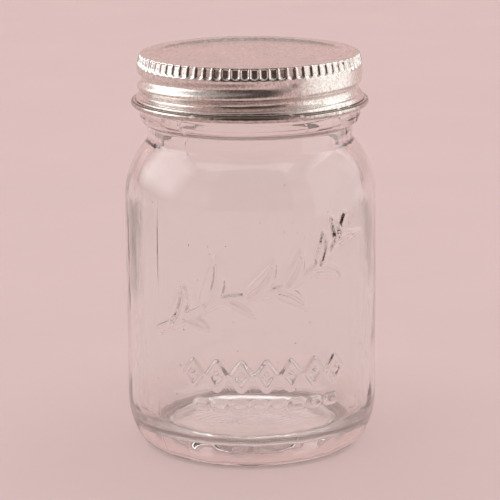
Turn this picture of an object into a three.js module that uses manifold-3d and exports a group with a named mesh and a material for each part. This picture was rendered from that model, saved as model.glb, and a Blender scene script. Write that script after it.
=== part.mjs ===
// A clear moulded-glass jar with a threaded neck, closed by a one-piece pressed-metal screw cap
// that holds a sealing liner. Millimetres, +Z up. The origin is the centre of the base, on the
// surface that the jar stands on. The thread is right-handed: turned anticlockwise from above,
// the cap comes up.
import * as THREE from 'three';
import { mergeVertices } from 'three/addons/utils/BufferGeometryUtils.js';
import Module from 'manifold-3d';

const wasm = await Module();
wasm.setup();

// ---- Driving dimensions ------------------------------------------------------------------
const TOTAL_HEIGHT = 105; // base to the top of the cap
const TURN_SEGMENTS = 56; // facets round each turned piece

const BODY_RADIUS = 33.2;
const WALL = 3;
const FOOT_INNER_RADIUS = 23.4; // the flat ring that the jar stands on
const FOOT_OUTER_RADIUS = 26.2;
const PUSH_UP = 2.2; // how far the middle of the base is pushed up
const HEEL_HEIGHT = 13.5;
const FLOOR_HEIGHT = 6.5; // inside floor
const FLOOR_RADIUS = 23.7;

const SHOULDER_Z = 67; // where the straight body ends
const SHOULDER_RADIUS = 22.2; // radius of the shoulder's curve
const NECK_RADIUS = 26.9;
const BORE_RADIUS = 24.3;

const RING_BOTTOM_Z = 87.1; // the plain ring under the thread
const RING_HEIGHT = 3.2;
const RING_RADIUS = 28.94;
const FINISH_RADIUS = 27.3; // the wall that carries the thread
const RIM_Z = 103;
const RIM_ROUND = 0.8;

const THREAD_LEAD = 4.233; // rise in one turn, six turns to the inch
const BEAD_RADIUS = 1.15; // the glass thread's rounded section
const BEAD_CENTRE_RADIUS = 27.15;
const BEAD_Z = 98.22; // height of the glass thread's middle where it crosses +X
const BEAD_FROM = -255; // degrees round from +X
const BEAD_TO = 170;

const SHEET = 0.35; // the cap's metal
const CAP_PANEL_RADIUS = 23.6; // the cap's slightly sunk middle
const CAP_RIM_RADIUS = 25.3;
const CAP_PANEL_SINK = 0.3;
const CAP_EDGE_ROUND = 0.9;
const KNURL_RADIUS = 29.5;
const KNURL_COUNT = 76;
const KNURL_BOTTOM_Z = 101.6;
const KNURL_DEPTH = 0.45;
const SKIRT_RADIUS = 29.27;
const SKIRT_BOTTOM_Z = 94.7; // where the skirt starts to flare
const HEM_RADIUS = 0.87; // the rolled bottom edge's section
const HEM_CENTRE_RADIUS = 30.29;
const HEM_Z = 92.65;

const GROOVE_RADIUS = 1.3; // the rounded section rolled into the skirt
const GROOVE_CENTRE_RADIUS = 29.35;
const GROOVE_Z = 96.1; // height of the groove's middle where it crosses +X
const GROOVE_FROM = -150;
const GROOVE_TO = 290;

const LINER_RADIUS = 28;
const LINER_BOTTOM_Z = 103.3;
const LINER_THICKNESS = 0.7;
const LINER_CHAMFER = 0.15;

// ---- Shape helpers -----------------------------------------------------------------------

// Points on a round or elliptical stretch of an outline, from one angle to another in degrees.
function arc(centreR, centreZ, radiusR, radiusZ, from, to, steps) {
  const points = [];
  for (let i = 0; i <= steps; i++) {
    const angle = THREE.MathUtils.degToRad(from + ((to - from) * i) / steps);
    const r = centreR + radiusR * Math.cos(angle);
    points.push([r, centreZ + radiusZ * Math.sin(angle)]);
  }
  return points;
}

// An outline of [radius, height] points turned about the Z axis, with faces out when the
// outline runs anticlockwise.
function turned(outline, segments = TURN_SEGMENTS) {
  const points = outline.map(([r, z]) => new THREE.Vector2(r, z));
  return new THREE.LatheGeometry(points, segments).rotateX(Math.PI / 2);
}

// A geometry as a solid that can be joined and cut.
function toSolid(geometry) {
  const bare = geometry.index ? geometry.clone() : mergeVertices(geometry.clone());
  bare.deleteAttribute('normal');
  bare.deleteAttribute('uv');
  const merged = mergeVertices(bare, 1e-4);
  const corners = merged.index.array;
  const triVerts = [];
  for (let i = 0; i < corners.length; i += 3) {
    const [a, b, c] = corners.slice(i, i + 3);
    if (a !== b && b !== c && c !== a) triVerts.push(a, b, c);
  }
  return new wasm.Manifold(new wasm.Mesh({
    numProp: 3,
    vertProperties: new Float32Array(merged.attributes.position.array),
    triVerts: new Uint32Array(triVerts),
  }));
}

// A solid as a geometry again.
function toGeometry(solid) {
  const { vertProperties, triVerts } = solid.getMesh();
  const geometry = new THREE.BufferGeometry();
  geometry.setAttribute('position', new THREE.BufferAttribute(vertProperties, 3));
  geometry.setIndex(new THREE.BufferAttribute(triVerts, 1));
  geometry.computeVertexNormals();
  return geometry;
}

// A right-handed thread's centre line. Over the run-out at each end its radius moves by
// fade, so that the thread dies away into the wall.
class ThreadCurve extends THREE.Curve {
  constructor({ radius, z, from, to, fade, runOut = 25 }) {
    super();
    Object.assign(this, { radius, z, from, to, fade, runOut });
  }

  getPoint(t, target = new THREE.Vector3()) {
    const degrees = this.from + (this.to - this.from) * t;
    const toEnd = Math.min(degrees - this.from, this.to - degrees);
    const faded = 1 - THREE.MathUtils.smoothstep(toEnd, 0, this.runOut);
    const r = this.radius + this.fade * faded;
    const angle = THREE.MathUtils.degToRad(degrees);
    const height = this.z + (THREAD_LEAD * degrees) / 360;
    return target.set(r * Math.cos(angle), r * Math.sin(angle), height);
  }

  // The section's x runs outward and its y runs straight down, all the way round.
  computeFrenetFrames(segments) {
    const frames = { tangents: [], normals: [], binormals: [] };
    for (let i = 0; i <= segments; i++) {
      const outward = this.getPointAt(i / segments).setZ(0).normalize();
      frames.normals.push(outward);
      frames.binormals.push(new THREE.Vector3(0, 0, -1));
      frames.tangents.push(new THREE.Vector3(-outward.y, outward.x, 0));
    }
    return frames;
  }
}

// A round section carried along a thread's centre line.
function threadSweep(curve, sectionRadius, { sides = 10, degreesPerStep = 14 } = {}) {
  const section = new THREE.Shape();
  for (let i = 0; i < sides; i++) {
    const angle = (2 * Math.PI * (i + 0.5)) / sides;
    const [x, y] = [sectionRadius * Math.cos(angle), sectionRadius * Math.sin(angle)];
    if (i === 0) section.moveTo(x, y);
    else section.lineTo(x, y);
  }
  section.closePath();
  const steps = Math.ceil((curve.to - curve.from) / degreesPerStep);
  return new THREE.ExtrudeGeometry(section, { steps, extrudePath: curve });
}

// ---- Glass jar ---------------------------------------------------------------------------

// The jar's section, from the middle of the base up the outside, over the rim and down inside.
function jarOutline() {
  const heelWidth = BODY_RADIUS - FOOT_OUTER_RADIUS;
  const shoulderCentre = BODY_RADIUS - SHOULDER_RADIUS;
  const outerEnd = THREE.MathUtils.radToDeg(Math.acos((NECK_RADIUS - shoulderCentre) / SHOULDER_RADIUS));
  const innerRadius = SHOULDER_RADIUS - WALL;
  const innerEnd = THREE.MathUtils.radToDeg(Math.acos((BORE_RADIUS - shoulderCentre) / innerRadius));
  const innerHeel = BODY_RADIUS - WALL - FLOOR_RADIUS;
  const ringTop = RING_BOTTOM_Z + RING_HEIGHT;
  const ringRound = RING_HEIGHT / 4;
  const ringSide = RING_RADIUS - ringRound;
  return [
    [0, PUSH_UP],
    [FOOT_INNER_RADIUS - 5, PUSH_UP - 0.6],
    [FOOT_INNER_RADIUS, 0],
    ...arc(FOOT_OUTER_RADIUS, HEEL_HEIGHT, heelWidth, HEEL_HEIGHT, -90, 0, 7),
    ...arc(shoulderCentre, SHOULDER_Z, SHOULDER_RADIUS, SHOULDER_RADIUS, 0, outerEnd, 6),
    [NECK_RADIUS, RING_BOTTOM_Z - 0.5],
    ...arc(ringSide, RING_BOTTOM_Z + ringRound, ringRound, ringRound, -90, 0, 2),
    ...arc(ringSide, ringTop - ringRound, ringRound, ringRound, 0, 90, 2),
    [FINISH_RADIUS, ringTop + 0.3],
    ...arc(FINISH_RADIUS - RIM_ROUND, RIM_Z - RIM_ROUND, RIM_ROUND, RIM_ROUND, 0, 90, 3),
    ...arc(BORE_RADIUS + RIM_ROUND, RIM_Z - RIM_ROUND, RIM_ROUND, RIM_ROUND, 90, 180, 3),
    ...arc(shoulderCentre, SHOULDER_Z, innerRadius, innerRadius, innerEnd, 0, 5),
    ...arc(FLOOR_RADIUS, FLOOR_HEIGHT + innerHeel, innerHeel, innerHeel, 0, -90, 5),
    [0, FLOOR_HEIGHT],
  ];
}

function glassJar() {
  const thread = new ThreadCurve({
    radius: BEAD_CENTRE_RADIUS,
    z: BEAD_Z,
    from: BEAD_FROM,
    to: BEAD_TO,
    fade: -BEAD_RADIUS - 0.2,
  });
  const bead = toSolid(threadSweep(thread, BEAD_RADIUS));
  return toGeometry(toSolid(turned(jarOutline())).add(bead));
}

// ---- Screw cap ---------------------------------------------------------------------------

// The cap's section, from the middle of its underside out, down inside, round the rolled edge,
// up the outside and back over the top.
function capOutline() {
  const panelZ = TOTAL_HEIGHT - CAP_PANEL_SINK;
  const knurlInner = KNURL_RADIUS - KNURL_DEPTH - SHEET;
  const edgeRadius = KNURL_RADIUS - CAP_EDGE_ROUND;
  const edgeZ = TOTAL_HEIGHT - CAP_EDGE_ROUND;
  const skirtInner = SKIRT_RADIUS - SHEET;
  return [
    [0, panelZ - SHEET],
    [CAP_PANEL_RADIUS, panelZ - SHEET],
    [CAP_RIM_RADIUS, TOTAL_HEIGHT - SHEET],
    [knurlInner - 0.4, TOTAL_HEIGHT - SHEET],
    [knurlInner, TOTAL_HEIGHT - SHEET - 0.4],
    [knurlInner, KNURL_BOTTOM_Z + SHEET],
    [skirtInner, KNURL_BOTTOM_Z],
    [skirtInner, SKIRT_BOTTOM_Z],
    ...arc(HEM_CENTRE_RADIUS, HEM_Z, HEM_RADIUS, HEM_RADIUS, 180, 420, 8),
    [SKIRT_RADIUS, SKIRT_BOTTOM_Z],
    [SKIRT_RADIUS, KNURL_BOTTOM_Z - 0.3],
    [KNURL_RADIUS, KNURL_BOTTOM_Z],
    ...arc(edgeRadius, edgeZ, CAP_EDGE_ROUND, CAP_EDGE_ROUND, 0, 90, 3),
    [CAP_RIM_RADIUS, TOTAL_HEIGHT],
    [CAP_PANEL_RADIUS, panelZ],
    [0, panelZ],
  ];
}

// The thread rolled into the skirt: a rounded groove outside that is a ridge inside.
function rollThread(cap) {
  const path = { z: GROOVE_Z, from: GROOVE_FROM, to: GROOVE_TO };
  const curve = new ThreadCurve({ ...path, radius: GROOVE_CENTRE_RADIUS, fade: GROOVE_RADIUS });
  const ridge = toSolid(threadSweep(curve, GROOVE_RADIUS + SHEET));
  const groove = toSolid(threadSweep(curve, GROOVE_RADIUS));
  const skirtSpace = toSolid(turned([
    [0, HEM_Z],
    [SKIRT_RADIUS - SHEET / 2, HEM_Z],
    [SKIRT_RADIUS - SHEET / 2, KNURL_BOTTOM_Z],
    [0, KNURL_BOTTOM_Z],
  ]));
  return cap.add(ridge.intersect(skirtSpace)).subtract(groove);
}

// One knurl's notch: a narrow upright wedge that bites into the cap's top edge.
function knurlNotch() {
  const halfWidth = (0.3 * 2 * Math.PI * KNURL_RADIUS) / KNURL_COUNT;
  const wedge = new THREE.Shape();
  wedge.moveTo(KNURL_RADIUS - KNURL_DEPTH, 0);
  wedge.lineTo(KNURL_RADIUS + 0.4, -2 * halfWidth);
  wedge.lineTo(KNURL_RADIUS + 0.4, 2 * halfWidth);
  wedge.closePath();
  const depth = TOTAL_HEIGHT - CAP_EDGE_ROUND / 2 - KNURL_BOTTOM_Z;
  return new THREE.ExtrudeGeometry(wedge, { depth, bevelEnabled: false }).translate(0, 0, KNURL_BOTTOM_Z);
}

function screwCap() {
  let cap = rollThread(toSolid(turned(capOutline())));
  const notches = [];
  for (let i = 0; i < KNURL_COUNT; i++) {
    notches.push(toSolid(knurlNotch().rotateZ((2 * Math.PI * i) / KNURL_COUNT)));
  }
  cap = cap.subtract(wasm.Manifold.union(notches));
  return toGeometry(cap);
}

// ---- Liner -------------------------------------------------------------------------------

function sealingLiner() {
  const top = LINER_BOTTOM_Z + LINER_THICKNESS;
  return turned([
    [0, LINER_BOTTOM_Z],
    [LINER_RADIUS - LINER_CHAMFER, LINER_BOTTOM_Z],
    [LINER_RADIUS, LINER_BOTTOM_Z + LINER_CHAMFER],
    [LINER_RADIUS, top - LINER_CHAMFER],
    [LINER_RADIUS - LINER_CHAMFER, top],
    [0, top],
  ]);
}

// ---- Assembly ----------------------------------------------------------------------------

const glass = new THREE.MeshStandardMaterial({
  color: 0xe6eeeb,
  roughness: 0.05,
  metalness: 0,
  transparent: true,
  opacity: 0.35,
});
const tinplate = new THREE.MeshStandardMaterial({ color: 0xc4bfbc, roughness: 0.35, metalness: 1 });
const seal = new THREE.MeshStandardMaterial({ color: 0xf0eeea, roughness: 0.6, metalness: 0 });

function piece(name, geometry, material) {
  const mesh = new THREE.Mesh(geometry, material);
  mesh.name = name;
  return mesh;
}

const group = new THREE.Group();
group.add(
  piece('glass_jar', glassJar(), glass),
  piece('cap_shell', screwCap(), tinplate),
  piece('cap_liner', sealingLiner(), seal),
);

export default group;
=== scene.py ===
"""Looks for a clear moulded-glass jar with a one-piece metal screw cap, built on its CAD frame.

Shapes are worked out in millimetres in the frame's own axes and scaled to metres when a mesh is
made. A direction round the jar is an angle in degrees from the front (-Y), positive towards +X.
"""

import math

import bpy
import numpy as np
from mathutils import Matrix, Vector


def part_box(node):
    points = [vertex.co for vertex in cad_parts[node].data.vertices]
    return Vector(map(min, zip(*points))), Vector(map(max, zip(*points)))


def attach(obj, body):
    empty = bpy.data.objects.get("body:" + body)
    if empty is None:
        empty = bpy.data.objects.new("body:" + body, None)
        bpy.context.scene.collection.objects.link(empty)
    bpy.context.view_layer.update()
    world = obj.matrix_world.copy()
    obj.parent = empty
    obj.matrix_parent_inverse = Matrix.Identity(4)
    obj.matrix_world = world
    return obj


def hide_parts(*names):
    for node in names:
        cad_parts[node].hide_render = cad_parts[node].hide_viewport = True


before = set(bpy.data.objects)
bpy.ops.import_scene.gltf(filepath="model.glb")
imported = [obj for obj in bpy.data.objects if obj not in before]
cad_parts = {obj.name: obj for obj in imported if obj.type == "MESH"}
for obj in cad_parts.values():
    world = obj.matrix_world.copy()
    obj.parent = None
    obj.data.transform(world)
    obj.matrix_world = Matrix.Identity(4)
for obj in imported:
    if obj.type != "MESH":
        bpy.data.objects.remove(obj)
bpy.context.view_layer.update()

MM = 0.001
_, JAR_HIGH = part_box("glass_jar")
CAP_LOW, CAP_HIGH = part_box("cap_shell")
LINER_LOW, LINER_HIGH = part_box("cap_liner")

# ---- Driving dimensions, in millimetres ---------------------------------------------------
BODY_RADIUS = JAR_HIGH.x / MM
RIM_Z = JAR_HIGH.z / MM
CAP_TOP = CAP_HIGH.z / MM
HEM_EDGE = CAP_HIGH.x / MM
HEM_BOTTOM = CAP_LOW.z / MM

WALL = 3.0
FOOT_INNER, FOOT_MIDDLE, FOOT_OUTER = 23.6, 24.6, 26.2
PUSH_UP = 2.2
HEEL_HEIGHT = 13.5
FLOOR_Z, FLOOR_RADIUS = 6.5, 23.7
SHOULDER_Z, SHOULDER_RADIUS = 67.0, 22.2
NECK_Z, NECK_RADIUS = 82.4, 26.9
BORE_RADIUS, BORE_TOP, BORE_LOW = 24.3, 98.0, 82.6
RING_Z, RING_HEIGHT, RING_RADIUS = 87.1, 4.1, 28.9
FINISH_RADIUS = 27.3
RIM_ROUND = 0.8
SEED_COUNT = 90

LEAD = 4.233
BEAD_Z, BEAD_FROM, BEAD_TO = 98.22, -255.0, 170.0
BEAD_HEIGHT, BEAD_HALF_WIDTH = 1.0, 1.15

FOOT_TICKS, FOOT_TICK_DEPTH = 180, 0.55
SEAM_ANGLES = (-46.2, 133.8)
SEAM_STRENGTHS = (1.0, 0.35)
SEAM_HEIGHT, SEAM_WIDTH = 0.13, 0.17
NECK_SEAM_ANGLES = (-37.0, 143.0)
NECK_SEAM_HEIGHT, NECK_SEAM_WIDTH = 0.3, 0.24

SHEET = 0.3
KNURLS = 76
KNURL_RADIUS, KNURL_DEPTH = 29.5, 0.42
CROWN_RADIUS = 28.75
KNURL_LOW = 101.9
SKIRT_RADIUS = 29.5
GROOVE_Z, GROOVE_FROM, GROOVE_TO = 96.45, -190.0, 292.0
GROOVE_DEPTH, GROOVE_HALF_WIDTH = 1.3, 2.1
PANEL_RADIUS, PANEL_RIM, PANEL_SINK = 23.9, 24.9, 0.5
HEM_ROUND = 0.85
HEM_DROP = 0.45
CREVICE_Z = 92.85
LID_MARK = (4.0, -1.5, 104.6)


# ---- Outlines and skins -------------------------------------------------------------------
def arc(centre, radii, start, stop, steps=24):
    """Points round an ellipse, angles in degrees."""
    t = np.radians(np.linspace(start, stop, steps + 1))
    return np.column_stack([centre[0] + radii[0] * np.cos(t), centre[1] + radii[1] * np.sin(t)])


def rounded(corners):
    """A path through (r, z, fillet) corners, each with an arc of that radius in place of the corner."""
    path = []
    for k, (r, z, fillet) in enumerate(corners):
        here = np.array([r, z])
        if fillet <= 0 or k in (0, len(corners) - 1):
            path.append(here[None])
            continue
        back = np.array(corners[k - 1][:2]) - here
        ahead = np.array(corners[k + 1][:2]) - here
        back_unit = back / np.linalg.norm(back)
        ahead_unit = ahead / np.linalg.norm(ahead)
        half = math.acos(np.clip(back_unit @ ahead_unit, -1, 1)) / 2
        reach = min(fillet / math.tan(half), 0.49 * np.linalg.norm(back), 0.49 * np.linalg.norm(ahead))
        start, stop = here + back_unit * reach, here + ahead_unit * reach
        t = np.linspace(0, 1, 13)[:, None]
        path.append((1 - t) ** 2 * start + 2 * t * (1 - t) * here + t**2 * stop)
    return np.concatenate(path)


def resample(path, spacing):
    """The path again with points about spacing apart, both ends kept."""
    path = np.asarray(path, float)
    step = np.linalg.norm(np.diff(path, axis=0), axis=1)
    keep = np.concatenate([[True], step > 1e-6])
    path = path[keep]
    along = np.concatenate([[0], np.cumsum(np.linalg.norm(np.diff(path, axis=0), axis=1))])
    count = max(1, round(along[-1] / spacing))
    at = np.linspace(0, along[-1], count + 1)
    return np.column_stack([np.interp(at, along, path[:, i]) for i in (0, 1)])


def even(count):
    """That many directions round the full turn, in degrees from -180."""
    return -180 + 360 * np.arange(count) / count


class Skin:
    """A closed skin turned about the Z axis. Each zone is a stretch of outline with its own
    number of points round the turn and its own relief, a height along the surface normal."""

    def __init__(self):
        self.rings, self.angles, self.relief = [], [], []

    def zone(self, path, spacing, angles, relief=None, skip_first=True):
        points = resample(path, spacing)
        if skip_first and self.rings:
            points = points[1:]
        for point in points:
            self.rings.append(point)
            self.angles.append(angles)
            self.relief.append(relief)

    def mesh(self, name, extra=()):
        outline = np.array(self.rings)
        tangent = np.gradient(outline, axis=0)
        tangent /= np.linalg.norm(tangent, axis=1)[:, None]
        normal = np.column_stack([tangent[:, 1], -tangent[:, 0]])
        points, faces, rows = [], [], []
        start = 0
        for k, (r, z) in enumerate(outline):
            angles = self.angles[k]
            if r < 1e-6:
                points.append([[0.0, 0.0, z]])
                rows.append(np.array([start]))
                start += 1
                continue
            height = np.zeros(len(angles))
            if self.relief[k] is not None:
                height = self.relief[k](angles, r, z)
            radius = r + normal[k, 0] * height
            t = np.radians(angles)
            level = z + normal[k, 1] * height
            points.append(np.column_stack([radius * np.sin(t), -radius * np.cos(t), level]))
            rows.append(np.arange(start, start + len(angles)))
            start += len(angles)
        for k in range(len(rows) - 1):
            faces += bridge(rows[k], self.angles[k], rows[k + 1], self.angles[k + 1])
        for more_points, more_faces in extra:
            faces += [tuple(start + v for v in face) for face in more_faces]
            points.append(more_points)
            start += len(more_points)
        return make_mesh(name, np.concatenate(points), faces)


def bridge(low, low_angles, high, high_angles):
    """Faces between two rings, which may have different numbers of points."""
    if len(low) == 1:
        return [(low[0], high[(i + 1) % len(high)], high[i]) for i in range(len(high))]
    if len(high) == 1:
        return [(low[i], low[(i + 1) % len(low)], high[0]) for i in range(len(low))]
    if len(low) == len(high):
        turn = np.roll(np.arange(len(low)), -1)
        return list(zip(low, low[turn], high[turn], high))
    faces, i, j = [], 0, 0
    low_ends = np.append(low_angles, low_angles[0] + 360)
    high_ends = np.append(high_angles, high_angles[0] + 360)
    while i < len(low) or j < len(high):
        a, b = low[i % len(low)], high[j % len(high)]
        if j >= len(high) or (i < len(low) and low_ends[i + 1] <= high_ends[j + 1]):
            faces.append((a, low[(i + 1) % len(low)], b))
            i += 1
        else:
            faces.append((a, high[(j + 1) % len(high)], b))
            j += 1
    return faces


def make_mesh(name, points, faces):
    mesh = bpy.data.meshes.new(name)
    mesh.from_pydata((np.asarray(points) * MM).tolist(), [], [tuple(int(v) for v in f) for f in faces])
    mesh.update()
    mesh.shade_smooth()
    piece = bpy.data.objects.new(name, mesh)
    bpy.context.scene.collection.objects.link(piece)
    return piece


def smoothstep(x):
    x = np.clip(x, 0, 1)
    return x * x * (3 - 2 * x)


def hill(distance, half_width):
    """A rounded rise, 1 on the line and 0 from half_width away."""
    d = np.clip(np.abs(distance) / half_width, 0, 1)
    return 0.5 + 0.5 * np.cos(np.pi * d)


def helix_height(angles, z, centre_z, start, stop, half_width, run_out=30):
    """How strongly a thread shows at height z: its turns run from start to stop, in degrees
    from +X, and die away over run_out at each end."""
    total = np.zeros(len(angles))
    for turn in (-360, 0, 360):
        along = angles - 90 + turn
        fade = smoothstep((along - start) / run_out) * smoothstep((stop - along) / run_out)
        total = np.maximum(total, hill(z - centre_z - LEAD * along / 360, half_width) * fade)
    return total


def waves(count, turns, rises, size, seed):
    """A smooth random unevenness over angle and height, made of a few cosine waves."""
    own = np.random.default_rng(seed)
    terms = [
        (own.integers(*turns), own.uniform(*rises), own.uniform(0, 2 * np.pi), own.uniform(0.5, 1))
        for _ in range(count)
    ]

    def height(angles, z):
        t = np.radians(angles)
        return size * sum(a * np.cos(m * t + n * z + p) for m, n, p, a in terms) / math.sqrt(count)

    return height


# ---- Raised ornament on the glass ---------------------------------------------------------
def smooth_line(points, steps=24):
    """A smooth line through the points."""
    p = np.array(points, float)
    p = np.vstack([2 * p[0] - p[1], p, 2 * p[-1] - p[-2]])
    t = np.linspace(0, 1, steps, endpoint=False)[:, None]
    line = []
    for a, b, c, d in zip(p[:-3], p[1:-2], p[2:-1], p[3:]):
        square = (2 * a - 5 * b + 4 * c - d) * t**2
        cube = (3 * b - a - 3 * c + d) * t**3
        line.append(0.5 * (2 * b + (c - a) * t + square + cube))
    return np.concatenate([*line, p[-2:-1]])


def leaf(base, direction, length, width, bend=0.0):
    """A leaf's middle line from its base along a direction in degrees, and its width along it."""
    t = np.linspace(0, 1, 13)
    middle = np.column_stack([t * length, bend * length * np.sin(np.pi * t)])
    c, s = math.cos(math.radians(direction)), math.sin(math.radians(direction))
    widths = 0.5 + (width - 0.5) * np.sin(np.pi * t**0.75) ** 0.8
    return middle @ np.array([[c, s], [-s, c]]) + np.array(base), widths


def sprig_strokes():
    """A leafy sprig as raised strokes, and the veins cut back into its leaves. A stroke is
    (points, widths, rise), in millimetres along the wall from the front and up from the base."""
    raised, veins = [], []
    stem = smooth_line(SPRIG_STEM)
    raised.append((stem, np.linspace(*STEM_WIDTHS, len(stem)), 1.0))
    heading = np.degrees(np.arctan2(*np.gradient(stem, axis=0)[:, ::-1].T))
    for share, side, length in SPRIG_LEAVES:
        k = int(share * (len(stem) - 1))
        direction = heading[k] + side * LEAF_SPREAD
        middle, widths = leaf(stem[k], direction, length, length * LEAF_WIDTH, bend=-0.1 * side)
        raised.append((middle, widths, 1.0))
        veins.append((middle[1:-2], np.full(len(middle) - 3, VEIN_WIDTH), -VEIN_CUT))
    return raised + veins


def frieze_strokes():
    """Two rows: lozenges with a dot, and long beads."""
    strokes = []
    for k in range(LOZENGES):
        u, v = LOZENGE_START + LOZENGE_PITCH * k, LOZENGE_Z
        lozenge = np.array([(u - 2.2, v), (u, v + 3.2), (u + 2.2, v), (u, v - 3.2), (u - 2.2, v)])
        strokes.append((lozenge, np.full(5, 1.4), 0.8))
        strokes.append((np.array([(u - 0.1, v), (u + 0.1, v)]), np.full(2, 1.5), 0.8))
    for k in range(PEARLS):
        u, v = PEARL_START + PEARL_PITCH * k, PEARL_Z
        strokes.append((np.array([(u - 0.8, v), (u + 0.8, v)]), np.full(2, 2.3), 0.8))
    return strokes


SPRIG_STEM = (
    (-26, 36.5), (-17, 41), (-8, 46), (1, 47.5), (9, 49.5), (17, 53.5), (23, 58.5), (26.6, 66),
)
STEM_WIDTHS = (2.3, 1.8)
SPRIG_LEAVES = (
    (0.07, 1, 11.5), (0.13, -1, 7.5), (0.22, 1, 14.5), (0.32, -1, 8.5), (0.39, 1, 12.0), (0.52, -1, 9.5),
    (0.56, 1, 10.5), (0.70, -1, 9.5), (0.73, 1, 9.0), (0.87, -1, 7.5), (0.89, 1, 6.5),
)
LEAF_SPREAD, LEAF_WIDTH = 45, 0.38
VEIN_WIDTH, VEIN_CUT = 0.7, 0.85
LOZENGES, LOZENGE_START, LOZENGE_PITCH, LOZENGE_Z = 7, -15.4, 6.4, 26.4
PEARLS, PEARL_START, PEARL_PITCH, PEARL_Z = 8, -13.2, 5.0, 18.4
ORNAMENT = sprig_strokes() + frieze_strokes()
ORNAMENT_HEIGHT, ORNAMENT_FLANK = 0.9, 0.8


def ornament_height(angles, z):
    """The ornament's rise above the wall at one height, for each direction."""
    u = np.radians(angles) * BODY_RADIUS
    height = np.zeros(len(u))
    for points, widths, rise in ORNAMENT:
        reach = widths.max()
        low, high = points.min(0) - reach, points.max(0) + reach
        if not low[1] < z < high[1]:
            continue
        near = np.flatnonzero((u > low[0]) & (u < high[0]))
        if len(near) == 0:
            continue
        a, b = points[:-1], points[1:]
        ab = b - a
        here = np.column_stack([u[near], np.full(len(near), z)])[:, None]
        t = np.clip(((here - a) * ab).sum(2) / np.maximum((ab**2).sum(1), 1e-9), 0, 1)
        away = np.linalg.norm(here - a - t[..., None] * ab, axis=2)
        inside = (widths[:-1] + (widths[1:] - widths[:-1]) * t) / 2 - away
        share = smoothstep(0.5 + inside.max(1) / ORNAMENT_FLANK)
        if rise > 0:
            height[near] = np.maximum(height[near], rise * share)
        else:
            height[near] += rise * share * height[near]
    return ORNAMENT_HEIGHT * height


# ---- Glass jar ----------------------------------------------------------------------------
outer_waves = waves(9, (1, 6), (-0.12, 0.12), 0.05, 11)
inner_waves = waves(14, (1, 9), (-0.11, 0.11), 0.16, 12)
inner_streaks = waves(10, (14, 46), (-0.03, 0.03), 0.022, 13)
heel_waves = waves(14, (8, 40), (-0.8, 0.8), 0.05, 14)


def ridge(angles, at, width):
    """A fine upright ridge at one direction round the jar, 1 at its top."""
    away = np.radians((angles - at + 180) % 360 - 180) * BODY_RADIUS
    return np.exp(-((away / width) ** 2))


def seam_height(angles, z):
    """The mould's parting line on each side, clearest in the upper part of the wall."""
    strength = 0.2 + 1.3 * hill(z - 57, 13)
    lines = sum(share * ridge(angles, at, SEAM_WIDTH) for at, share in zip(SEAM_ANGLES, SEAM_STRENGTHS))
    return strength * SEAM_HEIGHT * lines


def neck_seam_height(angles, z):
    """The neck ring's own parting line, a little round from the wall's and not quite straight."""
    drift = 1.4 * math.sin(1.15 * (z - 85.5))
    lines = sum(ridge(angles, seam + drift, NECK_SEAM_WIDTH) for seam in NECK_SEAM_ANGLES)
    return NECK_SEAM_HEIGHT * lines


def with_seams(angles, seams, spread=0.9):
    """The same directions, with close ones added at each seam."""
    fine = np.linspace(-1, 1, 13)
    fine = spread * np.sign(fine) * np.abs(fine) ** 1.3
    kept = [a for a in angles if min(abs((a - s + 180) % 360 - 180) for s in seams) > spread * 1.15]
    return np.sort(np.concatenate([kept, *(s + fine for s in seams)]))


def body_angles():
    front = np.arange(-49, 52, 0.5)
    back = np.arange(front[-1] + 5, front[0] + 357, 5.0)
    turned = (np.concatenate([front, back]) + 180) % 360 - 180
    return with_seams(np.sort(turned), SEAM_ANGLES)


def seeds():
    """Small air bubbles shut in the wall, as little closed skins that face into the air."""
    own = np.random.default_rng(58)
    bubbles = []
    for _ in range(SEED_COUNT):
        angle, z = math.radians(own.uniform(-180, 180)), own.uniform(16, 66)
        radius = BODY_RADIUS - own.uniform(0.7, WALL - 1.0)
        size = own.uniform(0.1, 0.2)
        length = size * own.uniform(1, 1.8)
        centre = np.array([radius * math.sin(angle), -radius * math.cos(angle), z])
        turn = np.radians(even(6))
        points, faces = [centre + (0, 0, -length)], []
        for tilt in np.radians([-45, 0, 45]):
            flat = np.column_stack([np.cos(turn), np.sin(turn)]) * math.cos(tilt)
            ring = np.column_stack([flat, np.full(6, math.sin(tilt))])
            points.extend(centre + ring * (size, size, length))
        points.append(centre + (0, 0, length))
        for i in range(6):
            j = (i + 1) % 6
            faces.append((0, 1 + i, 1 + j))
            faces.append((19, 13 + j, 13 + i))
            for row in (1, 7):
                faces.append((row + i, row + 6 + i, row + 6 + j, row + j))
        bubbles.append((np.array(points), faces))
    return bubbles


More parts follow.
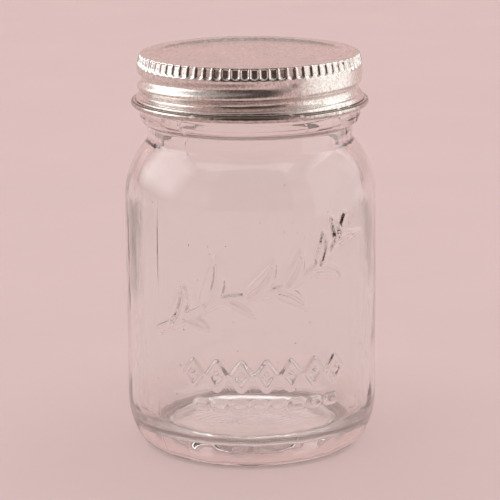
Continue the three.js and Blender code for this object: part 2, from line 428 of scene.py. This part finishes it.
def jar_mesh():
    shoulder_r = BODY_RADIUS - SHOULDER_RADIUS
    neck_angle = math.degrees(math.acos((NECK_RADIUS - shoulder_r) / SHOULDER_RADIUS))
    inner_radius = SHOULDER_RADIUS - WALL
    bore_angle = math.degrees(math.acos((BORE_RADIUS + 0.8 - shoulder_r) / inner_radius))
    inner_heel = BODY_RADIUS - WALL - FLOOR_RADIUS
    ring_top = RING_Z + RING_HEIGHT

    base_angles, body, plain = even(FOOT_TICKS * 4), body_angles(), with_seams(even(180), SEAM_ANGLES)
    collar = with_seams(even(200), NECK_SEAM_ANGLES, 3.0)
    thread, inside = even(200), even(150)

    def foot_relief(angles, r, z):
        ring = smoothstep((r - FOOT_INNER - 0.8) / 0.4) * smoothstep((FOOT_OUTER + 2.0 - r) / 0.6)
        ticks = 0.5 + 0.5 * np.cos(np.radians(angles) * FOOT_TICKS)
        return -FOOT_TICK_DEPTH * ring * ticks

    def under_relief(angles, r, z):
        return 0.12 * np.cos(1.9 * r) * np.cos(np.radians(angles) * 24) * smoothstep(r / 8)

    def body_relief(angles, r, z):
        return outer_waves(angles, z) + seam_height(angles, z) + ornament_height(angles, z)

    def outer_relief(angles, r, z):
        chill = heel_waves(angles, z) * smoothstep((HEEL_HEIGHT - z) / 5)
        return outer_waves(angles, z) + seam_height(angles, z) + chill

    def collar_relief(angles, r, z):
        return outer_waves(angles, z) + neck_seam_height(angles, z)

    def finish_relief(angles, r, z):
        bead = helix_height(angles, z, BEAD_Z, BEAD_FROM, BEAD_TO, BEAD_HALF_WIDTH)
        return BEAD_HEIGHT * bead

    def inner_relief(angles, r, z):
        inside_wall = smoothstep((z - FLOOR_Z) / 8) * smoothstep((98 - z) / 10)
        corner = smoothstep((r - FLOOR_RADIUS) / 2) * smoothstep((FLOOR_Z + 9 - z) / 4)
        chill = heel_waves(angles + 11, z) * corner
        return -(inner_waves(angles, z) + inner_streaks(angles, z)) * inside_wall - chill

    skin = Skin()
    base = rounded([
        (0, PUSH_UP + 0.3, 0), (17, PUSH_UP, 6), (FOOT_INNER - 1.6, 1.3, 1.2), (FOOT_INNER, 0, 0.6),
        (FOOT_MIDDLE, 0, 0),
    ])
    skin.zone(base[:20], 1.2, even(120), under_relief)
    skin.zone(base[19:], 0.5, base_angles, foot_relief)
    heel = arc((FOOT_OUTER, HEEL_HEIGHT), (BODY_RADIUS - FOOT_OUTER, HEEL_HEIGHT), -90, 0, 60)
    skin.zone(np.vstack([[FOOT_MIDDLE, 0], heel[:12]]), 0.4, base_angles, foot_relief)
    skin.zone(heel[11:], 0.7, plain, outer_relief)
    skin.zone([(BODY_RADIUS, HEEL_HEIGHT), (BODY_RADIUS, SHOULDER_Z)], 0.34, body, body_relief)
    shoulder = arc((shoulder_r, SHOULDER_Z), (SHOULDER_RADIUS,) * 2, 0, neck_angle - 3.5, 40)
    skin.zone(shoulder, 0.8, plain, outer_relief)
    neck = rounded([
        (*shoulder[-1], 0), (NECK_RADIUS + 0.1, NECK_Z, 1.6), (NECK_RADIUS, RING_Z - 0.5, 0.5),
        (RING_RADIUS - 0.3, RING_Z + 0.1, 1.1), (RING_RADIUS + 0.06, RING_Z + 1.6, 1.2),
        (RING_RADIUS, ring_top, 0.6), (FINISH_RADIUS + 0.1, ring_top + 0.1, 0.5),
        (FINISH_RADIUS, ring_top + 1.0, 0),
    ])
    skin.zone(neck, 0.33, collar, collar_relief)
    finish = rounded([
        (FINISH_RADIUS, ring_top + 1.0, 0), (FINISH_RADIUS, RIM_Z, RIM_ROUND * 2),
        (BORE_RADIUS, RIM_Z, RIM_ROUND * 2), (BORE_RADIUS, BORE_TOP, 0),
    ])
    skin.zone(finish, 0.4, thread, finish_relief)
    inner_shoulder = arc((shoulder_r, SHOULDER_Z), (inner_radius,) * 2, bore_angle, 0, 40)
    throat = rounded([(BORE_RADIUS, BORE_TOP, 0), (BORE_RADIUS, BORE_LOW, 5), (*inner_shoulder[0], 0)])
    skin.zone(throat, 0.9, inside, inner_relief)
    skin.zone(inner_shoulder, 1.0, inside, inner_relief)
    wall = BODY_RADIUS - WALL
    skin.zone([(wall, SHOULDER_Z), (wall, FLOOR_Z + inner_heel)], 1.4, inside, inner_relief)
    corner = arc((FLOOR_RADIUS, FLOOR_Z + inner_heel), (inner_heel,) * 2, 0, -90, 24)
    skin.zone(corner, 0.5, inside, inner_relief)
    floor = rounded([(FLOOR_RADIUS, FLOOR_Z, 0), (12, FLOOR_Z + 0.1, 8), (0, FLOOR_Z + 0.6, 0)])
    skin.zone(floor, 1.5, inside)
    return skin.mesh("jar_glass", seeds())


# ---- Cap ----------------------------------------------------------------------------------
dents = waves(10, (2, 11), (-0.25, 0.25), 0.035, 21)


def cap_mesh():
    coarse, middle, fine = even(152), even(KNURLS * 4), even(KNURLS * 12)

    def knurl(angles, z):
        from_rib = np.abs((angles * KNURLS + 180) % 360 - 180) / 180
        floor = KNURL_LOW - 0.2 + 0.5 * (1 - from_rib)
        window = smoothstep((z - floor) / 0.9) * smoothstep((CAP_TOP - z) / 0.3)
        return KNURL_DEPTH * (1 - (1 - np.clip(from_rib / 0.55, 0, 1)) ** 1.7) * window

    def outer_relief(angles, r, z):
        groove = helix_height(angles, z, GROOVE_Z, GROOVE_FROM, GROOVE_TO, GROOVE_HALF_WIDTH)
        groove = groove * smoothstep((z - 93.4) / 1.2) if r > 27 else 0 * groove
        knock = 0.3 * hill(np.hypot(np.radians(angles - 21) * SKIRT_RADIUS, 1.4 * (z - 100.9)), 2.6)
        return dents(angles, z) - GROOVE_DEPTH * groove - (knurl(angles, z) + knock) * (r > 27)

    def inner_relief(angles, r, z):
        return -outer_relief(angles, r, z)

    skin = Skin()
    panel = CAP_TOP - PANEL_SINK
    skin.zone([(0, panel - SHEET), (PANEL_RADIUS, panel - SHEET)], 3.0, coarse)
    crown_inner, skirt_inner = CROWN_RADIUS - SHEET, SKIRT_RADIUS - SHEET
    underside = rounded([
        (PANEL_RADIUS, panel - SHEET, 0), (PANEL_RIM, CAP_TOP - SHEET, 1),
        (crown_inner, CAP_TOP - SHEET, 0.6), (KNURL_RADIUS - SHEET, KNURL_LOW, 0),
    ])
    skin.zone(underside, 0.5, fine, inner_relief)
    hem_centre = (HEM_EDGE - HEM_ROUND, HEM_BOTTOM + HEM_ROUND - HEM_DROP)
    inner_skirt = rounded([
        (KNURL_RADIUS - SHEET, KNURL_LOW, 0), (skirt_inner, KNURL_LOW - 1, 0.5), (skirt_inner, 95.2, 1.0),
        (29.35, 93.4, 0.5), (29.5, hem_centre[1], 0),
    ])
    skin.zone(inner_skirt, 0.4, middle, inner_relief)
    curl = arc(hem_centre, (HEM_ROUND, HEM_ROUND), 190, 478, 56)
    skin.zone(curl, 0.25, middle)
    outer_skirt = rounded([
        (*curl[-1], 0), (29.55, CREVICE_Z - 0.13, 0.05), (29.95, 93.3, 0.25),
        (SKIRT_RADIUS - 0.35, 94.9, 0.9), (SKIRT_RADIUS, 96.6, 1.0),
        (SKIRT_RADIUS, KNURL_LOW - 1.2, 0.8), (KNURL_RADIUS, KNURL_LOW, 0),
    ])
    skin.zone(outer_skirt, 0.25, middle, outer_relief)
    crown_edge = (PANEL_RIM + 1, CAP_TOP, 0)
    crown = rounded([(KNURL_RADIUS, KNURL_LOW, 0), (CROWN_RADIUS, CAP_TOP, 0.8), crown_edge])
    skin.zone(crown, 0.18, fine, outer_relief)
    panel_edge = (PANEL_RADIUS - 1.5, panel)
    top = rounded([crown_edge, (PANEL_RIM, CAP_TOP, 0.6), (PANEL_RADIUS, panel, 0.6), (*panel_edge, 0)])
    skin.zone(top, 0.3, coarse)
    skin.zone([panel_edge, (0, panel)], 2.5, coarse)
    return skin.mesh("cap_metal")


# ---- Liner --------------------------------------------------------------------------------
def liner_mesh():
    low, high = LINER_LOW.z / MM, LINER_HIGH.z / MM
    radius = LINER_HIGH.x / MM
    skin = Skin()
    turn = even(120)
    skin.zone(rounded([
        (0, low + 0.12, 0), (BORE_RADIUS - 1.2, low + 0.12, 0.4), (BORE_RADIUS - 0.6, low, 0.3),
        (BORE_RADIUS + 0.4, low, 0.2), (BORE_RADIUS + 0.9, low + 0.18, 0.3),
        (FINISH_RADIUS - 0.6, low + 0.18, 0.3), (FINISH_RADIUS - 0.2, low, 0.2),
        (radius, low, 0.25), (radius, high, 0.25), (radius - 1, high, 0),
    ]), 0.25, turn)
    skin.zone([(radius - 1, high), (0, high)], 3.0, turn)
    return skin.mesh("liner_seal")


# ---- Materials ----------------------------------------------------------------------------
def new_material(name):
    material = bpy.data.materials.new(name)
    material.use_nodes = True
    nodes = material.node_tree.nodes
    return material, nodes, material.node_tree.links, nodes["Principled BSDF"]


def object_noise(nodes, links, scale, detail=2.0, roughness=0.5, stretch=(1, 1, 1)):
    """Noise fixed to the piece. Scale is the number of features in a metre."""
    place = nodes.new("ShaderNodeTexCoord")
    spread = nodes.new("ShaderNodeMapping")
    spread.inputs["Scale"].default_value = stretch
    noise = nodes.new("ShaderNodeTexNoise")
    noise.inputs["Scale"].default_value = scale
    noise.inputs["Detail"].default_value = detail
    noise.inputs["Roughness"].default_value = roughness
    links.new(place.outputs["Object"], spread.inputs["Vector"])
    links.new(spread.outputs["Vector"], noise.inputs["Vector"])
    return noise.outputs["Fac"]


def ranged(nodes, links, source, low, high, to_low, to_high):
    """A value mapped from one range to another and held inside it."""
    node = nodes.new("ShaderNodeMapRange")
    for name, value in (("From Min", low), ("From Max", high), ("To Min", to_low), ("To Max", to_high)):
        node.inputs[name].default_value = value
    links.new(source, node.inputs["Value"])
    return node.outputs["Result"]


def bumped(nodes, links, source, distance, strength=1.0, before=None):
    """A normal that follows a height. Distance is that height in metres where the source is 1."""
    node = nodes.new("ShaderNodeBump")
    node.inputs["Distance"].default_value = distance
    node.inputs["Strength"].default_value = strength
    links.new(source, node.inputs["Height"])
    if before is not None:
        links.new(before, node.inputs["Normal"])
    return node.outputs["Normal"]


def height_mask(nodes, links, low, high):
    """1 where the piece is between two heights in millimetres, softened over the edges."""
    place = nodes.new("ShaderNodeTexCoord")
    axes = nodes.new("ShaderNodeSeparateXYZ")
    links.new(place.outputs["Object"], axes.inputs["Vector"])
    edge = 0.12
    rise = ranged(nodes, links, axes.outputs["Z"], (low - edge) * MM, (low + edge) * MM, 0, 1)
    fall = ranged(nodes, links, axes.outputs["Z"], (high - edge) * MM, (high + edge) * MM, 1, 0)
    return arithmetic(nodes, links, "MULTIPLY", rise, fall)


def reach_mask(nodes, links, radius):
    """1 nearer the axis than a radius in millimetres."""
    place = nodes.new("ShaderNodeTexCoord")
    flat = nodes.new("ShaderNodeVectorMath")
    flat.operation = "MULTIPLY"
    flat.inputs[1].default_value = (1, 1, 0)
    reach = nodes.new("ShaderNodeVectorMath")
    reach.operation = "LENGTH"
    links.new(place.outputs["Object"], flat.inputs[0])
    links.new(flat.outputs["Vector"], reach.inputs[0])
    return ranged(nodes, links, reach.outputs["Value"], (radius - 0.3) * MM, (radius + 0.3) * MM, 1, 0)


def foot_grooves(nodes, links):
    """1 in the middle of each groove of the foot's knurling, 0.1 between them."""
    place = nodes.new("ShaderNodeTexCoord")
    axes = nodes.new("ShaderNodeSeparateXYZ")
    links.new(place.outputs["Object"], axes.inputs["Vector"])
    front = arithmetic(nodes, links, "MULTIPLY", axes.outputs["Y"], -1)
    turn = arithmetic(nodes, links, "ARCTAN2", axes.outputs["X"], front)
    wave = arithmetic(nodes, links, "COSINE", arithmetic(nodes, links, "MULTIPLY", turn, FOOT_TICKS), 0)
    return ranged(nodes, links, wave, 0.0, 0.6, 0.1, 1)


def arithmetic(nodes, links, operation, first, second):
    node = nodes.new("ShaderNodeMath")
    node.operation = operation
    for socket, value in zip(node.inputs, (first, second)):
        if isinstance(value, (int, float)):
            socket.default_value = value
        else:
            links.new(value, socket)
    return node.outputs["Value"]


def mixed(nodes, links, factor, first, second):
    """A colour between two, each a tuple or a socket."""
    node = nodes.new("ShaderNodeMix")
    node.data_type = "RGBA"
    links.new(factor, node.inputs["Factor"])
    for name, value in (("A", first), ("B", second)):
        if isinstance(value, tuple):
            node.inputs[name].default_value = value
        else:
            links.new(value, node.inputs[name])
    return node.outputs["Result"]


def specks(nodes, links, scale, size, chance):
    """Small round spots, 1 inside a spot. Chance is the share of the cells that hold one."""
    place = nodes.new("ShaderNodeTexCoord")
    cells = nodes.new("ShaderNodeTexVoronoi")
    cells.inputs["Scale"].default_value = scale
    links.new(place.outputs["Object"], cells.inputs["Vector"])
    spot = ranged(nodes, links, cells.outputs["Distance"], size * 0.6, size, 1, 0)
    pick = nodes.new("ShaderNodeSeparateColor")
    links.new(cells.outputs["Color"], pick.inputs["Color"])
    picked = arithmetic(nodes, links, "LESS_THAN", pick.outputs["Red"], chance)
    return arithmetic(nodes, links, "MULTIPLY", spot, picked)


def smudge(nodes, links, centre, half_sizes):
    """1 inside a small oval mark, its centre and half sizes in millimetres."""
    place = nodes.new("ShaderNodeTexCoord")
    spread = nodes.new("ShaderNodeMapping")
    spread.vector_type = "TEXTURE"
    spread.inputs["Location"].default_value = [c * MM for c in centre]
    spread.inputs["Scale"].default_value = [h * MM for h in half_sizes]
    reach = nodes.new("ShaderNodeVectorMath")
    reach.operation = "LENGTH"
    links.new(place.outputs["Object"], spread.inputs["Vector"])
    links.new(spread.outputs["Vector"], reach.inputs[0])
    return ranged(nodes, links, reach.outputs["Value"], 0.6, 1.0, 0.8, 0)


def glass_material():
    material, nodes, links, shader = new_material("clear_glass")
    thick = nodes.new("ShaderNodeVolumeAbsorption")
    thick.inputs["Color"].default_value = (0.58, 0.52, 0.5, 1)
    thick.inputs["Density"].default_value = 9
    links.new(thick.outputs["Volume"], nodes["Material Output"].inputs["Volume"])
    shader.inputs["Transmission Weight"].default_value = 1
    shader.inputs["IOR"].default_value = 1.5
    inside_ring = reach_mask(nodes, links, FOOT_MIDDLE - 0.4)
    low_part = height_mask(nodes, links, -1.0, PUSH_UP + 0.7)
    under = arithmetic(nodes, links, "MULTIPLY", low_part, inside_ring)
    links.new(arithmetic(nodes, links, "MULTIPLY", under, 0.25), shader.inputs["Roughness"])
    short_of_ring = reach_mask(nodes, links, FOOT_MIDDLE - 0.1)
    foot = arithmetic(nodes, links, "SUBTRACT", height_mask(nodes, links, -1.0, 1.0), short_of_ring)
    # The grooves of the foot ring are tinted dark brown. This is painted shade, standing in for the dark
    # contact zone under the foot.
    groove_shade = arithmetic(nodes, links, "MULTIPLY", foot, foot_grooves(nodes, links))
    tint = mixed(nodes, links, height_mask(nodes, links, 15, 80), (1, 0.99, 0.98, 1), (0.985, 1, 1, 1))
    links.new(mixed(nodes, links, groove_shade, tint, (0.2, 0.15, 0.13, 1)), shader.inputs["Base Color"])
    swell = bumped(nodes, links, object_noise(nodes, links, 60, 1.5), 0.00025, 1.0)
    drawn = object_noise(nodes, links, 170, 2.0, 0.5, (1, 1, 0.5))
    ripple = bumped(nodes, links, drawn, 0.00005, 1.0, swell)
    lines = object_noise(nodes, links, 420, 2.0, 0.5, (1, 1, 0.16))
    streak = bumped(nodes, links, lines, 0.00001, 1.0, ripple)
    links.new(streak, shader.inputs["Normal"])
    return material


def metal_material():
    material, nodes, links, shader = new_material("cap_metal")
    shader.inputs["Metallic"].default_value = 1
    grain = object_noise(nodes, links, 1700, 3.0, 0.75)
    smear = object_noise(nodes, links, 90, 4.0, 0.6)
    scratch = object_noise(nodes, links, 160, 3.0, 0.7, (1, 1, 22))
    contrast = ranged(nodes, links, grain, 0.38, 0.62, 0, 1)
    tint = mixed(nodes, links, contrast, (0.64, 0.60, 0.565, 1), (0.98, 0.94, 0.905, 1))
    dulled = ranged(nodes, links, smear, 0.35, 0.7, 0, 0.15)
    wear_and_shade = mixed(nodes, links, dulled, tint, (0.62, 0.56, 0.52, 1))
    # The hem from 90 mm up to the crevice is darkened in a mottled band. This is painted shade where the
    # rolled hem meets the glass.
    bead = arithmetic(nodes, links, "MULTIPLY", height_mask(nodes, links, 90, CREVICE_Z - 0.1),
                      ranged(nodes, links, object_noise(nodes, links, 1300, 2.0), 0.35, 0.65, 0.15, 0.7))
    wear_and_shade = mixed(nodes, links, bead, wear_and_shade, (0.34, 0.28, 0.24, 1))
    # A dark line in the crevice above the hem: painted shade.
    crevice_shade = height_mask(nodes, links, CREVICE_Z - 0.12, CREVICE_Z + 0.12)
    wear_and_shade = mixed(nodes, links, crevice_shade, wear_and_shade, (0.1, 0.08, 0.065, 1))
    glints = arithmetic(nodes, links, "MULTIPLY", specks(nodes, links, 400, 0.3, 0.45), 0.8)
    wear_and_shade = mixed(nodes, links, glints, wear_and_shade, (1.0, 0.96, 0.92, 1))
    pits = arithmetic(nodes, links, "MULTIPLY", specks(nodes, links, 500, 0.28, 0.3), 0.45)
    wear_and_shade = mixed(nodes, links, pits, wear_and_shade, (0.4, 0.34, 0.3, 1))
    wear_and_shade = mixed(nodes, links, specks(nodes, links, 420, 0.16, 0.05), wear_and_shade, (0.16, 0.12, 0.09, 1))
    wear_and_shade = mixed(nodes, links, smudge(nodes, links, LID_MARK, (1.1, 0.5, 1.0)), wear_and_shade, (0.3, 0.3, 0.16, 1))
    links.new(wear_and_shade, shader.inputs["Base Color"])
    satin = ranged(nodes, links, height_mask(nodes, links, 95.5, KNURL_LOW - 0.3), 0, 1, 0, 0.08)
    rough = arithmetic(nodes, links, "ADD", ranged(nodes, links, smear, 0.3, 0.7, 0.18, 0.25), satin)
    links.new(rough, shader.inputs["Roughness"])
    fine = bumped(nodes, links, grain, 0.00004, 0.9)
    links.new(bumped(nodes, links, scratch, 0.00003, 0.5, fine), shader.inputs["Normal"])
    return material


def liner_material():
    material, nodes, links, shader = new_material("liner_seal")
    shader.inputs["Base Color"].default_value = (0.86, 0.85, 0.82, 1)
    shader.inputs["Roughness"].default_value = 0.55
    fine = bumped(nodes, links, object_noise(nodes, links, 1500, 2.0), 0.00003)
    links.new(fine, shader.inputs["Normal"])
    return material


# ---- Stage --------------------------------------------------------------------------------
STAGE_PINK = (0.69, 0.55, 0.537)
STAGE_SHADE = (0.33, 0.275, 0.255, 1)
FLOOR_SHADES = (("shade_left", (-240, 190), 100, 145, 0.9), ("shade_right", (260, 215), 100, 150, 0.7))
# How strongly the wall glows with its own colour: painted light.
WALL_GLOW = 0.34
# A painted contact shadow: a dark ring on the floor round the jar's foot, in place of the shadow the
# glass doesn't cast.
CONTACT_INNER, CONTACT_OUTER = (20, 25), (25.8, 28.8)
CONTACT_STRENGTH, CONTACT_SHADE = 0.55, (0.22, 0.16, 0.14, 1)


def stage():
    """A pale floor that curves up into a wall all the way round, far behind every view. It has a painted
    contact shadow round the jar's foot, and the wall glows with its own colour as painted light.
    """
    angles = even(96)
    path = np.vstack([[(0, 0)], arc((2200, 900), (900, 900), -90, 0, 16), [(3100, 2400)]])
    points = [[0, 0, -0.15]]
    rows = [np.array([0])]
    t = np.radians(angles)
    for r, z in path[1:]:
        rows.append(np.arange(len(points), len(points) + len(t)))
        points += np.column_stack([r * np.sin(t), -r * np.cos(t), np.full(len(t), z - 0.15)]).tolist()
    faces = []
    for low, high in zip(rows[:-1], rows[1:]):
        faces += bridge(low, angles, high, angles)
    floor = make_mesh("stage_floor", points, [f[::-1] for f in faces])
    material, nodes, links, shader = new_material("stage_paper")
    dim, bright = (tuple(c * k for c in STAGE_PINK) + (1,) for k in (0.965, 1.035))
    paper = mixed(nodes, links, object_noise(nodes, links, 14, 3.0), dim, bright)
    place = nodes.new("ShaderNodeTexCoord")
    reach = nodes.new("ShaderNodeVectorMath")
    reach.operation = "LENGTH"
    links.new(place.outputs["Object"], reach.inputs[0])
    near, far = (span * MM for span in CONTACT_INNER), (span * MM for span in CONTACT_OUTER)
    # Painted contact shadow round the jar's foot.
    contact_shadow = arithmetic(
        nodes, links, "MULTIPLY",
        ranged(nodes, links, reach.outputs["Value"], *near, 0, CONTACT_STRENGTH),
        ranged(nodes, links, reach.outputs["Value"], *far, 1, 0),
    )
    paper = mixed(nodes, links, contact_shadow, paper, CONTACT_SHADE)
    links.new(paper, shader.inputs["Base Color"])
    shader.inputs["Roughness"].default_value = 0.9
    shader.inputs["Specular IOR Level"].default_value = 0.1
    axes = nodes.new("ShaderNodeSeparateXYZ")
    links.new(place.outputs["Object"], axes.inputs["Vector"])
    # The wall glows with its own colour, rising with height to 0.8 m and fading out between 1.1 m and 1.7
    # m. This is painted light standing in for light falling on the wall.
    links.new(paper, shader.inputs["Emission Color"])
    rise = ranged(nodes, links, axes.outputs["Z"], 0.05, 0.8, 0, WALL_GLOW)
    fall = ranged(nodes, links, axes.outputs["Z"], 1.1, 1.7, 1, 0)
    links.new(arithmetic(nodes, links, "MULTIPLY", rise, fall), shader.inputs["Emission Strength"])
    floor.data.materials.append(material)
    return floor


def floor_shade(name, centre, near, far, strength):
    """A darker round area of the table beside the jar, soft at its edge, that only shows through
    the glass."""
    turn = np.radians(even(72))
    rim = np.column_stack([far * np.sin(turn), -far * np.cos(turn), np.zeros(len(turn))])
    card = make_mesh(name, np.vstack([[0, 0, 0], rim]), [(0, 1 + i, 1 + (i + 1) % 72) for i in range(72)])
    card.location = (centre[0] * MM, centre[1] * MM, 0.2 * MM)
    material, nodes, links, shader = new_material(name)
    place = nodes.new("ShaderNodeTexCoord")
    reach = nodes.new("ShaderNodeVectorMath")
    reach.operation = "LENGTH"
    links.new(place.outputs["Object"], reach.inputs[0])
    shader.inputs["Base Color"].default_value = STAGE_SHADE
    shader.inputs["Roughness"].default_value = 0.9
    cover = ranged(nodes, links, reach.outputs["Value"], near * MM, far * MM, strength, 0)
    links.new(cover, shader.inputs["Alpha"])
    card.data.materials.append(material)
    card.visible_camera = False
    card.visible_diffuse = False
    card.visible_glossy = False
    card.visible_shadow = False


def softbox(name, angle, elevation, distance, size, level):
    """A glowing panel that faces the jar and fades towards its edges. It only shows in reflections."""
    width, height = size
    toward = direction(angle, elevation)
    turn = toward.to_track_quat("Z", "Y")
    corners = [(x * width / 2, y * height / 2) for x, y in ((-1, -1), (1, -1), (1, 1), (-1, 1))]
    panel = make_mesh(name, [(x / MM, y / MM, 0) for x, y in corners], [(0, 3, 2, 1)])
    panel.location = Vector((0, 0, 0.05)) + toward * distance
    panel.rotation_mode = "QUATERNION"
    panel.rotation_quaternion = turn
    material, nodes, links, shader = new_material(name)
    place = nodes.new("ShaderNodeTexCoord")
    axes = nodes.new("ShaderNodeSeparateXYZ")
    links.new(place.outputs["Object"], axes.inputs["Vector"])
    fade = level
    for axis, half in (("X", width / 2), ("Y", height / 2)):
        off = arithmetic(nodes, links, "ABSOLUTE", axes.outputs[axis], 0)
        edge = ranged(nodes, links, off, half * 0.5, half, 1, 0)
        fade = arithmetic(nodes, links, "MULTIPLY", edge, fade)
    glow_only(shader, (1, 0.985, 0.97, 1))
    links.new(fade, shader.inputs["Emission Strength"])
    panel.data.materials.append(material)
    panel.visible_camera = False
    panel.visible_diffuse = False
    panel.visible_transmission = False
    panel.visible_shadow = False
    return panel


def direction(angle, elevation):
    """The unit vector from the jar towards an angle round it and an elevation, in degrees."""
    a, e = math.radians(angle), math.radians(elevation)
    return Vector((math.sin(a) * math.cos(e), -math.cos(a) * math.cos(e), math.sin(e)))


def glow_only(shader, colour):
    """Sets a shader to give off light and reflect none."""
    shader.inputs["Base Color"].default_value = (0, 0, 0, 1)
    shader.inputs["Specular IOR Level"].default_value = 0
    shader.inputs["Emission Color"].default_value = colour


def reflection_card(name, points, faces, colour):
    """A card that only shows in reflections."""
    card = make_mesh(name, points, faces)
    material, _, _, shader = new_material(name)
    glow_only(shader, colour)
    shader.inputs["Emission Strength"].default_value = 1
    card.data.materials.append(material)
    card.visible_camera = False
    card.visible_diffuse = False
    card.visible_transmission = False
    card.visible_shadow = False


def dark_front():
    """The dim room on the camera's side, as part of a dome."""
    angles, heights = np.linspace(-38, 38, 9), np.linspace(0, 70, 8)
    points = [direction(a, e) * 1150 + Vector((0, 0, 50)) for e in heights for a in angles]
    faces = []
    for row in range(len(heights) - 1):
        for column in range(len(angles) - 1):
            k = row * len(angles) + column
            faces.append((k, k + 1, k + 1 + len(angles), k + len(angles)))
    reflection_card("dark_front", [tuple(p) for p in points], faces, (0.06, 0.045, 0.038, 1))


SOFTBOX_ANGLE, SOFTBOX_ELEVATION, SOFTBOX_DISTANCE = 100, 28, 1.3
SOFTBOX_SIZE, SOFTBOX_LEVEL = (1.7, 1.2), 2.7
CEILING_SIZE, CEILING_WATTS, CEILING_PLACE = 3.4, 50, (0, 0.5, 2.4)
WORLD_COLOUR, WORLD_STRENGTH = (0.95, 0.88, 0.86, 1), 0.5


def lights():
    for name, angle in (("softbox_left", -SOFTBOX_ANGLE), ("softbox_right", SOFTBOX_ANGLE)):
        softbox(name, angle, SOFTBOX_ELEVATION, SOFTBOX_DISTANCE, SOFTBOX_SIZE, SOFTBOX_LEVEL)
    bounce_card = [(290, -190, 2), (330, 190, 2), (330, 190, 330), (290, -190, 330)]
    reflection_card("bounce_right", bounce_card, [(0, 3, 2, 1)], (1.25, 1.2, 1.17, 1))
    ceiling = bpy.data.lights.new("ceiling", "AREA")
    ceiling.size = CEILING_SIZE
    ceiling.energy = CEILING_WATTS
    lamp = bpy.data.objects.new("ceiling", ceiling)
    lamp.location = CEILING_PLACE
    lamp.visible_camera = False
    lamp.visible_glossy = False
    bpy.context.scene.collection.objects.link(lamp)
    dark_front()
    world = bpy.data.worlds.new("studio")
    bpy.context.scene.world = world
    world.use_nodes = True
    background = world.node_tree.nodes["Background"]
    background.inputs["Color"].default_value = WORLD_COLOUR
    background.inputs["Strength"].default_value = WORLD_STRENGTH


# ---- Camera -------------------------------------------------------------------------------
CAMERA_PLACE = (0, -0.616, 0.198)
CAMERA_DOWN, CAMERA_YAW, CAMERA_ROLL = 13.36, 0.02, -0.4
CAMERA_LENS = 171.2


def camera():
    data = bpy.data.cameras.new("camera")
    data.lens = CAMERA_LENS
    data.sensor_width = 36
    data.clip_start, data.clip_end = 0.01, 20
    eye = bpy.data.objects.new("camera", data)
    yaw = Matrix.Rotation(math.radians(CAMERA_YAW), 4, "Z")
    down = Matrix.Rotation(math.radians(90 - CAMERA_DOWN), 4, "X")
    roll = Matrix.Rotation(math.radians(CAMERA_ROLL), 4, "Z")
    eye.matrix_world = Matrix.Translation(CAMERA_PLACE) @ yaw @ down @ roll
    bpy.context.scene.collection.objects.link(eye)
    bpy.context.scene.camera = eye


# ---- Assembly -----------------------------------------------------------------------------
camera()
lights()
stage()
for shade in FLOOR_SHADES:
    floor_shade(*shade)
bpy.context.scene.view_settings.view_transform = "Standard"
bpy.context.scene.cycles.max_bounces = 32
bpy.context.scene.cycles.transmission_bounces = 32
bpy.context.scene.cycles.glossy_bounces = 32

for piece, node, body, slot, material in (
    (jar_mesh(), "glass_jar", "jar", "clear_glass", glass_material()),
    (cap_mesh(), "cap_shell", "cap", "cap_metal", metal_material()),
    (liner_mesh(), "cap_liner", "liner", "liner_seal", liner_material()),
):
    piece.data.materials.append(material)
    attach(piece, body)
    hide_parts(node)

bpy.data.objects["jar_glass"].visible_shadow = False
